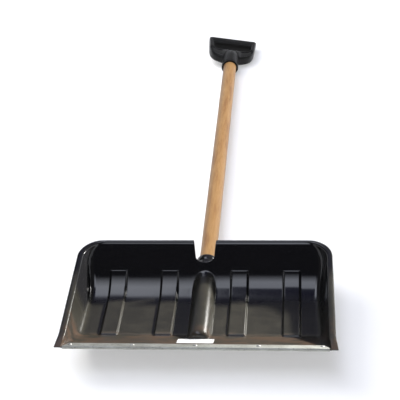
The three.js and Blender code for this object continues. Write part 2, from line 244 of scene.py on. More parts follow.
LIP_NORMAL = (0, math.sin(LIP), math.cos(LIP))


# ---- scoop surface ----
# The scoop's chord plane passes through the leading edge and the rim. A point of the scoop is
# (x, u, d): u from the leading edge to the rim in that plane, d the depth below it.
def to_chord(y, z):
    return (
        y * math.cos(CHORD) + z * math.sin(CHORD),
        y * math.sin(CHORD) - z * math.cos(CHORD),
    )


def from_chord(u, d):
    return (
        u * math.cos(CHORD) + d * math.sin(CHORD),
        u * math.sin(CHORD) - d * math.cos(CHORD),
    )


KNEE_Y = -FLOOR_Z / math.tan(LIP)
KNEE_TANGENT = KNEE_R * math.tan(LIP / 2)
LIP_STRAIGHT = KNEE_Y / math.cos(LIP) - KNEE_TANGENT
KNEE_U = to_chord(*lip_point(LIP_STRAIGHT, 0))[0]
FLOOR_U0 = to_chord(KNEE_Y + KNEE_TANGENT, FLOOR_Z)[0]
FLOOR_U1 = to_chord(FLOOR_END, FLOOR_Z)[0]
KNEE_CENTRE = to_chord(KNEE_Y + KNEE_TANGENT, FLOOR_Z + KNEE_R)
CURVE_CENTRE = to_chord(FLOOR_END, FLOOR_Z + CURVE_R)
WALL_U, WALL_D = to_chord(
    FLOOR_END + CURVE_R * math.sin(BACK),
    FLOOR_Z + CURVE_R * (1 - math.cos(BACK)),
)
WALL_SLOPE = WALL_D / (RIM_INNER - WALL_U)
HUMP_U = to_chord(*lip_point((HUMP_START - 3) / math.cos(LIP), 0))[0]
RIB_LOW = (to_chord(86, FLOOR_Z)[0], to_chord(91, FLOOR_Z)[0])
RIB_HIGH = (253, 256.5)


def floor_depth(u):
    """Depth of the scoop's floor and back wall along its middle."""
    knee = KNEE_CENTRE[1] + np.sqrt(np.maximum(KNEE_R**2 - (u - KNEE_CENTRE[0]) ** 2, 0))
    curve = CURVE_CENTRE[1] + np.sqrt(np.maximum(CURVE_R**2 - (u - CURVE_CENTRE[0]) ** 2, 0))
    flat = u * math.tan(CHORD) - FLOOR_Z / math.cos(CHORD)
    return np.select(
        [u < KNEE_U, u < FLOOR_U0, u < FLOOR_U1, u < WALL_U],
        [u * math.tan(LIP + CHORD), knee, flat, curve],
        (RIM_INNER - u) * WALL_SLOPE,
    )


def smooth(value, low, high):
    t = np.clip((value - low) / (high - low), 0, 1)
    return t * t * (3 - 2 * t)


def flare(u):
    return FLARE * np.clip(1 - u / FLARE_LENGTH, 0, None) ** 1.5


def inside(x, u, half, end, radius):
    """Distance inside an outline with straight sides and rounded corners at the rim."""
    dx = np.abs(x) - (half + flare(u) - radius)
    du = u - (end - radius)
    corner = np.hypot(np.maximum(dx, 0), np.maximum(du, 0))
    return radius - corner - np.minimum(np.maximum(dx, du), 0)


def rib_lift(x, u):
    """How far a rib stands out of the floor, 0 to 1."""
    across = np.zeros_like(x)
    for low, high in RIBS:
        edge = np.minimum(np.abs(x) - low, high - np.abs(x))
        across = np.maximum(across, smooth(edge, -RIB_FLANK, 0))
    return across * smooth(u, *RIB_LOW) * smooth(-u, -RIB_HIGH[1], -RIB_HIGH[0])


def nosed_radius(y, start):
    """Outer radius of the hump or the socket tube, with its rounded nose."""
    t = np.clip((start + SOCKET_NOSE - y) / SOCKET_NOSE, 0, 1)
    return SOCKET_R * (1 - t**3) ** 0.25


def soft_max(a, b, k):
    h = np.maximum(k - np.abs(a - b), 0) / np.maximum(k, 1e-9)
    return np.maximum(a, b) + h * h * k / 4


def plastic(x, u, d, hump):
    """Positive inside the scoop's plastic and negative in the air above it."""
    depth = floor_depth(u)
    slope = (floor_depth(u + 0.05) - floor_depth(u - 0.05)) / 0.1
    w = inside(x, u, INNER_HALF, RIM_INNER, INNER_R)
    out = inside(x, u, OUTER_HALF, RIM_OUTER, OUTER_R)
    v = np.clip(-w / np.maximum(out - w, 1e-3), 0, 1)
    crown = FLANGE_CROWN * 4 * v * (1 - v) * smooth(u, 0, 30)
    floor = (d - depth + RIB_HEIGHT * rib_lift(x, u)) / np.hypot(1, slope)
    side = d * math.sin(DRAFT) - w * math.cos(DRAFT)
    body = soft_max(floor, side, np.clip(0.45 * depth, 0.01, WALL_FILLET))
    if hump:
        y, z = from_chord(u, d)
        flared = nosed_radius(y, HUMP_START) + HUMP_FLARE * smooth(y, *HUMP_FLARE_Y)
        tube = flared - np.hypot(x, z - AXIS_Z)
        fillet = HUMP_FILLET - (HUMP_FILLET - HUMP_FILLET_END) * smooth(y, *HUMP_FILLET_Y)
        body = np.where(y > HUMP_START, soft_max(body, tube, fillet), body)
    return -soft_max(-d - crown, -body, RIM_FILLET * smooth(u, 0, 60) + 0.01)


def surface(x, u, hump):
    """Depth of the hollow face at each (x, u), and its normal out of the plastic."""
    low = np.full_like(x, -3.0)
    high = np.full_like(x, 75.0)
    for _ in range(40):
        middle = (low + high) / 2
        solid_there = plastic(x, u, middle, hump) > 0
        high = np.where(solid_there, middle, high)
        low = np.where(solid_there, low, middle)
    d = (low + high) / 2
    e = 0.15
    normal = -np.stack([
        plastic(x + e, u, d, hump) - plastic(x - e, u, d, hump),
        plastic(x, u + e, d, hump) - plastic(x, u - e, d, hump),
        plastic(x, u, d + e, hump) - plastic(x, u, d - e, hump),
    ], -1)
    return d, normal / np.linalg.norm(normal, axis=1)[:, None]


def chord_to_working(x, u, d):
    y, z = from_chord(u, d)
    return np.stack([x, y, z], -1)


def chord_normal(n):
    y, z = from_chord(n[:, 1], n[:, 2])
    return np.stack([n[:, 0], y, z], -1)


# ---- scoop mesh ----
def spaced(start, end, step):
    count = max(1, round(abs(end - start) / step))
    return list(np.linspace(start, end, count + 1))


def merged(*runs):
    """Sorted stations from several runs, without near duplicates."""
    kept = []
    for value in sorted(v for run in runs for v in run):
        if not kept or value - kept[-1] > 0.2:
            kept.append(value)
    return kept


CORE_HALF = INNER_HALF - INNER_R
CORE_U = RIM_INNER - INNER_R
PATCH_HALF = 36
PATCH_W = 31


def column_stations():
    """x of the columns of the floor, close together at the hump's sides and the ribs' flanks."""
    last = 48
    half = [spaced(0, 20, 1.6), spaced(20, 26, 0.4), spaced(26, PATCH_HALF, 1.5), spaced(PATCH_HALF, last, 3)]
    for low, high in RIBS:
        half += [spaced(last, low - 8, 3.5), spaced(low - 8, low + 1.5, 0.8)]
        half += [spaced(low + 1.5, high - 1.5, 3.5), spaced(high - 1.5, high + 8, 0.8)]
        last = high + 8
    half.append(spaced(last, CORE_HALF, 3.5))
    right = merged(*half)
    return [-x for x in right[:0:-1]] + right


def row_stations():
    """u of the rows of the floor, close together at the knee, the ribs' ends and the curve."""
    nose_u = to_chord(104, FLOOR_Z)[0]
    return merged(
        spaced(0, HUMP_U, 4),
        spaced(HUMP_U, nose_u, 0.8),
        spaced(nose_u, FLOOR_U1, 3.5),
        spaced(FLOOR_U1, 236, 2.2),
        spaced(236, 250, 1.4),
        spaced(250, CORE_U, 0.6),
    )


def ring_levels():
    """Steps from the floor's rectangle out to the rim, as (share of the wall, share of the flange)."""
    insets = merged(
        spaced(INNER_R, 35, 0.7), spaced(35, PATCH_W, 1), spaced(PATCH_W, 24, 1.75), spaced(24, 13, 0.9),
        spaced(13, 0, 0.55),
    )
    walls = [(1 - w / INNER_R, 0.0) for w in insets[::-1]]
    return walls + [(1.0, v) for v in (0.06, 0.14, 0.24, 0.36, 0.5, 0.64, 0.77, 0.88, 0.94)]


def ring_stations(xs, us):
    """Round the scoop from one end of the leading edge over the rim to the other. Each is a point of
    the floor's rectangle, one of the rim's inner outline and one of its outer outline."""
    stations = []
    turns = [math.radians(a) for a in np.linspace(0, 90, 20)[1:-1]]
    for u in us:
        spread = float(flare(u))
        stations.append(((CORE_HALF, u), (INNER_HALF + spread, u), (OUTER_HALF + spread, u)))
    outer_x = OUTER_HALF - OUTER_R
    for a in turns:
        stations.append((
            (CORE_HALF, CORE_U),
            (CORE_HALF + INNER_R * math.cos(a), CORE_U + INNER_R * math.sin(a)),
            (outer_x + OUTER_R * math.cos(a), CORE_U + OUTER_R * math.sin(a)),
        ))
    for x in xs[::-1]:
        stations.append(((x, CORE_U), (x, RIM_INNER), (x * outer_x / CORE_HALF, RIM_OUTER)))
    mirror = [((-c[0], c[1]), (-i[0], i[1]), (-o[0], o[1])) for c, i, o in stations[:len(us) + len(turns)]]
    return stations + mirror[::-1]


def notch_outline(chain):
    """Points of the notch's edge, one for each (x, u) of the patch's outer boundary."""
    bottom_u = WALL_U + NOTCH_BOTTOM * math.cos(BACK - CHORD)
    arc_u = bottom_u + NOTCH_ARC * math.cos(BACK - CHORD)
    side = [i for i, (x, u) in enumerate(chain) if u >= arc_u]
    first = [i for i in side if chain[i][0] > 0]
    last = [i for i in side if chain[i][0] < 0]
    rest = range(first[-1] + 1, last[0])
    edge = []
    for i, (x, u) in enumerate(chain):
        if i in rest:
            a = math.pi * (i - first[-1]) / (last[0] - first[-1])
            c, s = math.cos(a), math.sin(a)
            edge.append((
                NOTCH_HALF * math.copysign(abs(c) ** 0.9, c),
                arc_u - (arc_u - bottom_u) * s**0.9,
            ))
            continue
        half = NOTCH_HALF + NOTCH_FLARE * (u - arc_u) / (RIM_OUTER - arc_u)
        edge.append((math.copysign(half, x), u))
    return edge


def scoop_sheet():
    """(x, u) points and faces of the scoop's hollow face, with the notch left open."""
    xs = column_stations()
    us = row_stations()
    points = [(x, u) for u in us for x in xs]
    at = {(i, j): j * len(xs) + i for j in range(len(us)) for i in range(len(xs))}
    faces = []
    for j in range(len(us) - 1):
        for i in range(len(xs) - 1):
            faces.append((at[i, j], at[i + 1, j], at[i + 1, j + 1], at[i, j + 1]))
    levels = ring_levels()
    stations = ring_stations(xs, us)
    corner = {True: at[len(xs) - 1, len(us) - 1], False: at[0, len(us) - 1]}
    turns = (len(stations) - 2 * len(us) - len(xs)) // 2
    back = len(us) + turns
    ring = []
    for s, (core, inner, outer) in enumerate(stations):
        if s < len(us):
            row = [at[len(xs) - 1, s]]
        elif s < back:
            row = [corner[True]]
        elif s < back + len(xs):
            row = [at[len(xs) - 1 - (s - back), len(us) - 1]]
        elif s < back + len(xs) + turns:
            row = [corner[False]]
        else:
            row = [at[0, len(stations) - 1 - s]]
        for wall, flange in levels[1:]:
            base = [c + (i - c) * wall for c, i in zip(core, inner)]
            row.append(len(points))
            points.append(tuple(b + (o - i) * flange for b, o, i in zip(base, outer, inner)))
        ring.append(row)
    low = next(k for k, level in enumerate(levels) if level[0] >= 1 - PATCH_W / INNER_R - 1e-6)
    left = next(s for s in range(back, len(stations)) if stations[s][0][0] <= PATCH_HALF + 1e-6)
    right = next(s for s in range(back, len(stations)) if stations[s][0][0] <= -PATCH_HALF + 1e-6)
    for s in range(len(stations) - 1):
        for k in range(len(levels) - 1):
            if left <= s < right and k >= low:
                continue
            quad = [ring[s][k], ring[s][k + 1], ring[s + 1][k + 1], ring[s + 1][k]]
            quad = list(dict.fromkeys(quad))
            if len(quad) > 2:
                faces.append(tuple(quad))
    chain = [ring[left][k] for k in range(len(levels) - 1, low, -1)]
    chain += [ring[s][low] for s in range(left, right + 1)]
    chain += [ring[right][k] for k in range(low + 1, len(levels))]
    outline = [points[i] for i in chain]
    edge = notch_outline(outline)
    previous = chain
    for step in (0.25, 0.47, 0.65, 0.79, 0.9, 0.96, 1.0):
        new = []
        for (x0, u0), (x1, u1) in zip(outline, edge):
            new.append(len(points))
            points.append((x0 + (x1 - x0) * step, u0 + (u1 - u0) * step))
        for i in range(len(chain) - 1):
            faces.append((previous[i], previous[i + 1], new[i + 1], new[i]))
        previous = new
    return np.array(points), faces


def oriented(points, faces):
    """Faces turned counter-clockwise in the (x, u) plane, which is out of the plastic."""
    turned = []
    for face in faces:
        p = points[list(face)]
        q = np.roll(p, -1, axis=0)
        area = np.sum(p[:, 0] * q[:, 1] - q[:, 0] * p[:, 1])
        turned.append(tuple(face) if area > 0 else tuple(face[::-1]))
    return turned


def boundary_loop(faces):
    """The vertices round the open edge of a sheet, in the faces' direction."""
    edges = {(a, b) for face in faces for a, b in zip(face, face[1:] + face[:1])}
    after = {a: b for a, b in edges if (b, a) not in edges}
    start = next(iter(after))
    loop = [start]
    while after[loop[-1]] != start:
        loop.append(after[loop[-1]])
    return loop


# How the edge of the plastic is rounded: (share of the bulge, share of the wall).
EDGE_ROUND = [(0.62, 0.1), (0.93, 0.28), (1, 0.5), (0.93, 0.72), (0.62, 0.9)]
EDGE_BULGE = 0.85


def scoop_shell():
    plane, faces = scoop_sheet()
    faces = oriented(plane, faces)
    x, u = plane[:, 0], plane[:, 1]
    d, _ = surface(x, u, True)
    top = chord_to_working(x, u, d)
    plain_d, normal = surface(x, u, False)
    normal = chord_normal(normal)
    under = chord_to_working(x, u, plain_d) - WALL * normal
    count = len(top)
    points = [top, under]
    all_faces = [list(f) for f in faces] + [[i + count for i in f[::-1]] for f in faces]
    loop = boundary_loop(faces)
    edge = top[loop]
    tangent = np.roll(edge, -1, axis=0) - np.roll(edge, 1, axis=0)
    outward = np.cross(tangent, normal[loop])
    outward /= np.linalg.norm(outward, axis=1)[:, None]
    bulge = EDGE_BULGE * (0.25 + 0.75 * smooth(u[loop], 0.5, 12))[:, None]
    rings = [loop]
    for share, depth in EDGE_ROUND:
        base = sum(len(p) for p in points)
        points.append(edge + outward * bulge * share - normal[loop] * WALL * depth)
        rings.append(list(range(base, base + len(loop))))
    rings.append([i + count for i in loop])
    for upper, lower in zip(rings, rings[1:]):
        for k in range(len(loop)):
            n = (k + 1) % len(loop)
            all_faces.append([upper[n], upper[k], lower[k], lower[n]])
    return solid("scoop_body", np.concatenate(points), all_faces)


def socket_tube():
    """The socket as a solid, drawn in a little where it is inside the hump."""
    nose_y = SOCKET_START + SOCKET_NOSE * np.linspace(0, 1, 14) ** 1.6
    nose = [(float(nosed_radius(y, SOCKET_START)), y) for y in nose_y]
    body = [(SOCKET_R, y) for y in spaced(SOCKET_START + SOCKET_NOSE + 3, SOCKET_MOUTH - 14, 3)]
    profile = nose + body
    profile += [(SOCKET_R + 0.3, SOCKET_MOUTH - 13.4), (COLLAR_R - 0.2, SOCKET_MOUTH - 12.3)]
    profile += arc((COLLAR_R - 1, SOCKET_MOUTH - 1), 1, 0, 90, 6)
    profile = [(0, SOCKET_START)] + profile[1:] + [(0, SOCKET_MOUTH)]
    points, faces = lathe(profile, 96)
    points[:, 2] += AXIS_Z
    u, d = to_chord(points[:, 1], points[:, 2])
    slope = (floor_depth(u + 0.05) - floor_depth(u - 0.05)) / 0.1
    above = (floor_depth(u) - d) / np.hypot(1, slope)
    inner = 1 - 0.035 * smooth(above, -WALL + 0.5, -0.5)
    points[:, 0] *= inner
    points[:, 2] = AXIS_Z + (points[:, 2] - AXIS_Z) * inner
    return solid("socket", points, faces)


def scoop(material):
    body = scoop_shell()
    join_or_cut(body, socket_tube(), "UNION")
    bore = [(0, HANDLE_START - 0.5), (BORE_R, HANDLE_START - 0.5), (BORE_R, SOCKET_MOUTH - 1)]
    bore += [(BORE_R + 0.9, SOCKET_MOUTH + 0.2), (BORE_R + 0.9, SOCKET_MOUTH + 8), (0, SOCKET_MOUTH + 8)]
    join_or_cut(body, on_axis("bore", bore, 96), "DIFFERENCE")
    for _, y, radius, twist in SCREWS[:2]:
        join_or_cut(body, screw_hole(y, radius, twist), "DIFFERENCE")
    for x in RIVET_X:
        join_or_cut(body, rivet_hole(x), "DIFFERENCE")
    return finish_piece(body, material, "scoop_plastic", "scoop", sharp=38)


def screw_hole(y, radius, twist):
    """Pilot hole and countersink under the tube, from below."""
    profile = [(0, 4), (2.5, 4), (2.5, radius - 2.7), (4.5, radius - 2.7), (4.5, radius + 4), (0, radius + 4)]
    points, faces = lathe(profile, 32)
    return solid("screw_hole", twisted(along(points, (0, y, AXIS_Z), (0, 0, -1)), twist), faces)


def rivet_hole(x):
    points, faces = lathe([(0, -9), (RIVET_HOLE_R, -9), (RIVET_HOLE_R, 6), (0, 6)], 24)
    return solid("rivet_hole", along(points, (x, *lip_point(RIVET_P, 0)), LIP_NORMAL), faces)


# ---- wear strip, rivets and screws ----
def strip_profile():
    """Closed outline of the folded strip as (p, q): upper leg, rounded fold, lower leg."""
    outer_q = (GAP + STRIP_T, -WALL - GAP - STRIP_T)
    inner_q = (GAP, -WALL - GAP)
    middle = -WALL / 2
    outer_r = (outer_q[0] - outer_q[1]) / 2
    inner_r = (inner_q[0] - inner_q[1]) / 2
    squeeze = (GAP + STRIP_T) / outer_r
    down = spaced(STRIP_LEG - 0.4, 1, 2)
    outline = [(STRIP_LEG, outer_q[0] - 0.4)]
    outline += [(p, outer_q[0]) for p in down]
    outline += [(squeeze * p, q) for p, q in arc((0, middle), outer_r, 90, 270, 13)]
    outline += [(p, outer_q[1]) for p in down[::-1]]
    outline += [(STRIP_LEG, outer_q[1] + 0.4), (STRIP_LEG, inner_q[1])]
    outline += [(p, inner_q[1]) for p in down]
    outline += [(0.18 * p, q) for p, q in arc((0, middle), inner_r, 270, 90, 9)]
    outline += [(p, inner_q[0]) for p in down[::-1]]
    outline += [(STRIP_LEG, inner_q[0])]
    return outline


def ripple(x, p):
    """Small dents of a used edge, in millimetres."""
    wave = np.sin(x * 0.071 + 1.3) + 0.6 * np.sin(x * 0.193 + p * 0.2) + 0.4 * np.sin(x * 0.437 + 2.1)
    return 0.055 * wave


def wear_strip(material):
    outline = strip_profile()
    columns = np.linspace(-1, 1, 261)
    points = []
    for c in columns:
        for p, q in outline:
            x = c * (STRIP_HALF - 0.4 * max(0, p - 3))
            shift = float(ripple(x, p))
            dent = 0.35 * shift * (p < 2) - 0.3 * abs(shift) * (p < 0)
            points.append((x, *lip_point(p + dent, q + (shift * 0.5 + 0.05 if q > 0 else 0))))
    ring = len(outline)
    faces = []
    for c in range(len(columns) - 1):
        for k in range(ring):
            n = (k + 1) % ring
            faces.append([c * ring + k, c * ring + n, (c + 1) * ring + n, (c + 1) * ring + k])
    last = (len(columns) - 1) * ring
    half = ring // 2
    for base in (0, last):
        for k in range(half - 1):
            faces.append([base + k, base + k + 1, base + ring - 2 - k, base + ring - 1 - k])
    strip = solid("wear_strip_fine", points, faces)
    for x in RIVET_X:
        join_or_cut(strip, rivet_hole(x), "DIFFERENCE")
    return finish_piece(strip, material, "strip_metal", "wear_strip", sharp=45)


def rivet(index, x, material):
    """Hammered head on the upper face, shank, and a flat head below."""
    upper = GAP + STRIP_T + 0.12
    lower = -WALL - GAP - STRIP_T - 0.12
    profile = [(0, lower - 1.2)] + arc((3.5, lower - 0.7), 0.5, -90, 0, 4) + [(4, lower), (2.1, lower)]
    profile += [(2.1, upper), (4.1, upper), (4.2, upper + 0.25)]
    profile += [(4.1 * math.cos(t), upper + 0.3 + 1.6 * math.sin(t)) for t in np.radians(range(10, 90, 10))]
    profile += [(0, upper + 1.92)]
    points, faces = lathe(profile, 36)
    angle = np.arctan2(points[:, 0], points[:, 2])
    uneven = 1 + 0.025 * np.sin(3 * angle + 1.7 * index) * (points[:, 1] > upper)
    points[:, 0] *= uneven
    points[:, 2] *= uneven
    head = solid(f"rivet_{index + 1}", along(points, (x, *lip_point(RIVET_P, 0)), LIP_NORMAL), faces)
    return finish_piece(head, material, "rivet_metal", f"strip_rivet_{index + 1}")


def cross_recess(at, direction, depth, twist):
    """A cross-shaped punch with sloping sides, for a screw's head."""
    arm = 2.1
    web = 0.55
    outline = [(arm, -web), (arm, web), (web, web), (web, arm), (-web, arm), (-web, web)]
    outline += [(-x, -y) for x, y in outline]
    points = []
    for height, size in ((-depth, 0.45), (1, 1.0)):
        points += [(x * size, height, y * size) for x, y in outline]
    ring = len(outline)
    faces = [list(range(ring)), list(range(2 * ring - 1, ring - 1, -1))]
    faces += [[k, (k + 1) % ring, ring + (k + 1) % ring, ring + k] for k in range(ring)]
    return solid("punch", twisted(along(np.array(points), at, direction), twist), faces)


def screw(name, y, radius, twist, material):
    """Pan-headed screw up into the handle from below."""
    shank = [(0, 5.4), (1.2, 6)]
    threads = int((radius - 9.6) / 1.2)
    for k in range(threads):
        h = 7 + k * 1.2
        shank += [(1.75, h), (2.15, h + 0.5), (1.75, h + 1.0)]
    head = [(2.1, radius - 2.6), (2.1, radius - 2.4), (4.1, radius - 2.4)]
    head += arc((3.1, radius - 1.3), 1, 0, 90, 7) + [(0, radius - 0.25)]
    points, faces = lathe(shank + head, 32)
    at = (0, y, AXIS_Z)
    body = solid(f"{name}_fine", twisted(along(points, at, (0, 0, -1)), twist), faces)
    join_or_cut(body, cross_recess((0, y, AXIS_Z - radius + 0.3), (0, 0, -1), 1.4, twist), "DIFFERENCE")
    return finish_piece(body, material, "screw_steel", name, sharp=30)


# ---- handle ----
def handle(material):
    """Turned wooden rod, very slightly uneven along its length."""
    edge = 2.5
    lengths = [HANDLE_START + 0.1 * k for k in (1, 6, 14)] + spaced(HANDLE_START + edge, HANDLE_END - edge, 6)
    lengths += [HANDLE_END - 0.1 * k for k in (14, 6, 1)]
    profile = [(0, HANDLE_START)]
    for y in lengths:
        end = min(y - HANDLE_START, HANDLE_END - y, edge) / edge
        radius = HANDLE_R - edge * (1 - math.sqrt(max(0, 1 - (1 - end) ** 2)))
        uneven = 0.09 * math.sin(y * 0.0123 + 0.6) + 0.06 * math.sin(y * 0.031)
        profile.append((radius - 0.12 + uneven, y))
    profile.append((0, HANDLE_END))
    points, faces = lathe(profile, 72)
    angle = np.arctan2(points[:, 0], points[:, 2])
    oval = 1 + 0.003 * np.sin(2 * angle + points[:, 1] * 0.004)
    points[:, 0] *= oval
    points[:, 2] = AXIS_Z + points[:, 2] * oval
    rod = solid("handle_fine", points, faces)
    for _, y, radius, twist in SCREWS:
        join_or_cut(rod, screw_hole(y, radius, twist), "DIFFERENCE")
    return finish_piece(rod, material, "handle_wood", "handle")


# ---- D-grip ----
def bezier(a, b, c, d, steps):
    t = np.linspace(0, 1, steps, endpoint=False)[:, None]
    a, b, c, d = (np.array(p, float) for p in (a, b, c, d))
    return (1 - t) ** 3 * a + 3 * (1 - t) ** 2 * t * b + 3 * (1 - t) * t * t * c + t**3 * d


def straight(a, b, steps):
    t = np.linspace(0, 1, steps, endpoint=False)[:, None]
    return np.array(a, float) * (1 - t) + np.array(b, float) * t


def grip_outlines():
    """Matching outer and inner outlines of the D, each from the neck round by +X to the neck."""
    neck = GRIP_MOUTH + GRIP_NECK
    top = GRIP_MOUTH + GRIP_LENGTH
    wide = GRIP_SHOULDER_HALF
    shoulder = top - GRIP_SHOULDER
    hole_top = top - GRIP_BAR
    hole_low = hole_top - HAND_HOLE_LENGTH
    hole = HAND_HOLE_HALF
    outer_r, inner_r = GRIP_CORNER, HAND_HOLE_CORNER
    lobes, sides, corner, bar = 40, 16, 14, 34
    outer = [
        straight((0, neck + 2), (21, neck), 10),
        bezier((21, neck), (25, neck + 16), (wide - 3, neck + 6), (wide, shoulder), lobes),
        straight((wide, shoulder), (GRIP_HALF, top - outer_r), sides),
        np.array(arc((GRIP_HALF - outer_r, top - outer_r), outer_r, 0, 90, corner + 1)[:-1]),
        straight((GRIP_HALF - outer_r, top), (0, top), bar),
    ]
    low_side = hole_low + 16
    inner = [
        straight((0, hole_low), (14, hole_low), 10),
        bezier((14, hole_low), (hole - 10, hole_low), (hole, hole_low + 4), (hole, low_side), lobes),
        straight((hole, low_side), (hole, hole_top - inner_r), sides),
        np.array(arc((hole - inner_r, hole_top - inner_r), inner_r, 0, 90, corner + 1)[:-1]),
        straight((hole - inner_r, hole_top), (0, hole_top), bar),
    ]
    return [mirrored(np.concatenate(run)) for run in (outer, inner)]


def mirrored(right):
    """The right half of an outline, a point at its top, and the left half back to the start."""
    top = np.array([[0, right[-1][1]]])
    left = right[:0:-1] * [-1, 1]
    return np.concatenate([right, top, left])


def power(value, exponent):
    return np.sign(value) * np.abs(value) ** exponent


def grip_ring():
    """The D as a ring of rounded sections, grooved along the bar and sunk in at the web."""
    outer, inner = grip_outlines()
    top = GRIP_MOUTH + GRIP_LENGTH
    sections = 96
    turn = 2 * np.pi * np.arange(sections) / sections
    reach = power(np.cos(turn), 2 / 3.4)
    rise = power(np.sin(turn), 2 / 3.4)
    points = []
    for o, i in zip(outer, inner):
        middle = (o + i) / 2
        half = (o - i) / 2
        in_bar = float(smooth(middle[1], top - 26, top - 20))
        in_web = 1 - float(smooth(middle[1], top - 78, top - 62))
        off_neck = float(smooth(abs(middle[0]), 21, 30))
        groove = sum(np.exp(-(((reach - r) / 0.07) ** 2)) for r in (-0.42, 0.0, 0.42)) * (np.abs(rise) > 0.5)
        sunk = 1 - 0.075 * groove * in_bar
        panel = smooth(-np.abs(reach), -0.72, -0.5)
        sunk = sunk - 0.2 * panel * in_web * off_neck
        x = middle[0] + half[0] * reach
        y = middle[1] + half[1] * reach
        z = AXIS_Z + GRIP_THICK / 2 * rise * sunk
        points.append(np.stack([x, y, z], -1))
    faces = []
    count = len(outer)
    for k in range(count):
        n = (k + 1) % count
        for m in range(sections):
            w = (m + 1) % sections
            faces.append([k * sections + m, n * sections + m, n * sections + w, k * sections + w])
    return solid("d_grip_fine", twisted(np.concatenate(points), GRIP_TWIST), faces)


def d_grip(material):
    grip = grip_ring()
    m = GRIP_MOUTH
    lip = arc((SLEEVE_R - 1, m + 1), 1, -90, 0, 6)
    wide, deep = SLEEVE_R - SLEEVE_END_R, 38
    turns = np.radians(range(0, 90, 9))
    shoulder = [(SLEEVE_END_R + wide * math.cos(t), m + SLEEVE_END - deep * (1 - math.sin(t))) for t in turns]
    ring = [(SLEEVE_R, m + 7), (SLEEVE_R - 0.7, m + 7.6), (SLEEVE_R - 0.7, m + 9.4), (SLEEVE_R, m + 10)]
    sleeve = [(0, m)] + lip + ring + [(SLEEVE_R, m + 30)] + shoulder
    sleeve += [(SLEEVE_END_R, m + SLEEVE_END), (0, m + SLEEVE_END)]
    join_or_cut(grip, on_axis("sleeve", sleeve, 72, GRIP_TWIST), "UNION")
    bore = [(0, m - 4), (BORE_R + 0.9, m - 4), (BORE_R + 0.9, m - 0.2), (BORE_R, m + 1)]
    bore += [(BORE_R, m + GRIP_DEPTH), (0, m + GRIP_DEPTH)]
    join_or_cut(grip, on_axis("grip_bore", bore, 96), "DIFFERENCE")
    _, y, radius, twist = SCREWS[2]
    join_or_cut(grip, screw_hole(y, radius, twist), "DIFFERENCE")
    return finish_piece(grip, material, "grip_plastic", "d_grip", sharp=42)


# ---- label ----
def label(material):
    """Thin blank label with rounded corners, pressed on to the lip just below the strip."""
    radius = 2.5
    (x0, x1), (p0, p1) = LABEL_X, LABEL_P
    outline = []
    for cx, cp, start in ((x1, p1, 0), (x0, p1, 90), (x0, p0, 180), (x1, p0, 270)):
        centre = (cx - math.copysign(radius, cx), cp - radius if cp == p1 else cp + radius)
        outline += arc(centre, radius, start, start + 90, 6)
    middle = np.array([(x0 + x1) / 2, (p0 + p1) / 2])
    rings = [1.0, 0.97, 0.85, 0.68, 0.5, 0.33, 0.16]
    points = []
    for side, lift in ((1, LABEL_LIFT + LABEL_T), (-1, LABEL_LIFT)):
        for share in rings:
            for point in outline:
                x, p = middle + (np.array(point) - middle) * share
                wave = 0.05 * math.sin(x * 0.21) * math.sin(p * 0.33) * (side > 0) * (share < 1)
                points.append((x, *lip_point(p, lift + wave)))
        points.append((middle[0], *lip_point(middle[1], lift)))
    n = len(outline)
    layer = n * len(rings) + 1
    faces = []
    for side in (0, 1):
        for r in range(len(rings) - 1):
            for k in range(n):
                base = side * layer + r * n
                faces.append([base + k, base + (k + 1) % n, base + n + (k + 1) % n, base + n + k])
        base = side * layer + (len(rings) - 1) * n
        faces += [[base + k, base + (k + 1) % n, side * layer + layer - 1] for k in range(n)]
    faces += [[k, (k + 1) % n, layer + (k + 1) % n, layer + k] for k in range(n)]
    return finish_piece(solid("label_plate", points, faces), material, "label_paper", "blank_label")


# ---- materials ----
class Nodes:
    """Adds nodes to a tree; place is the output that its patterns are laid out in."""

    def __init__(self, tree, coordinate):
        self.tree = tree
        self.place = self.add("ShaderNodeTexCoord").outputs[coordinate]

    def add(self, kind, inputs=(), **settings):
        node = self.tree.nodes.new(kind)
        for key, value in settings.items():
            setattr(node, key, value)
        for key, value in dict(inputs).items():
            self.feed(node.inputs[key], value)
        return node

    def feed(self, socket, value):
        if isinstance(value, bpy.types.NodeSocket):
            self.tree.links.new(value, socket)
        else:
            socket.default_value = value

    def noise(self, scale, stretch=(1, 1, 1), detail=4, rough=0.55, shift=(0, 0, 0)):
        space = self.add("ShaderNodeMapping", {"Vector": self.place, "Scale": stretch, "Location": shift})
        inputs = {"Vector": space.outputs[0], "Scale": scale, "Detail": detail, "Roughness": rough}
        return self.add("ShaderNodeTexNoise", inputs).outputs["Fac"]

    def ramp(self, value, *stops):
        node = self.add("ShaderNodeValToRGB", {"Fac": value})
        elements = node.color_ramp.elements
        for position, colour in stops[2:]:
            elements.new(position)
        for element, (position, colour) in zip(elements, sorted(stops)):
            element.position = position
            element.color = colour if isinstance(colour, tuple) else (colour, colour, colour, 1)
        return node.outputs["Color"]

    def mix(self, share, first, second):
        inputs = {"Fac": share, "Color1": first, "Color2": second}
        return self.add("ShaderNodeMixRGB", inputs).outputs["Color"]

    def tint(self, base, mask, share, colour):
        """The base turned towards a colour by the share, where the mask is 1."""
        return self.mix(self.maths("MULTIPLY", mask, share), base, colour)

    def maths(self, operation, first, second=0.0):
        node = self.add("ShaderNodeMath", operation=operation)
        self.feed(node.inputs[0], first)
        self.feed(node.inputs[1], second)
        return node.outputs[0]

    def between(self, value, low, high):
        """A smooth step from 0 to 1 as the value goes from low to high, which may be the smaller."""
        inputs = {"Value": value, "From Min": low, "From Max": high}
        return self.add("ShaderNodeMapRange", inputs, interpolation_type="SMOOTHSTEP").outputs[0]

    def axis(self, name):
        return self.add("ShaderNodeSeparateXYZ", {"Vector": self.place}).outputs[name]


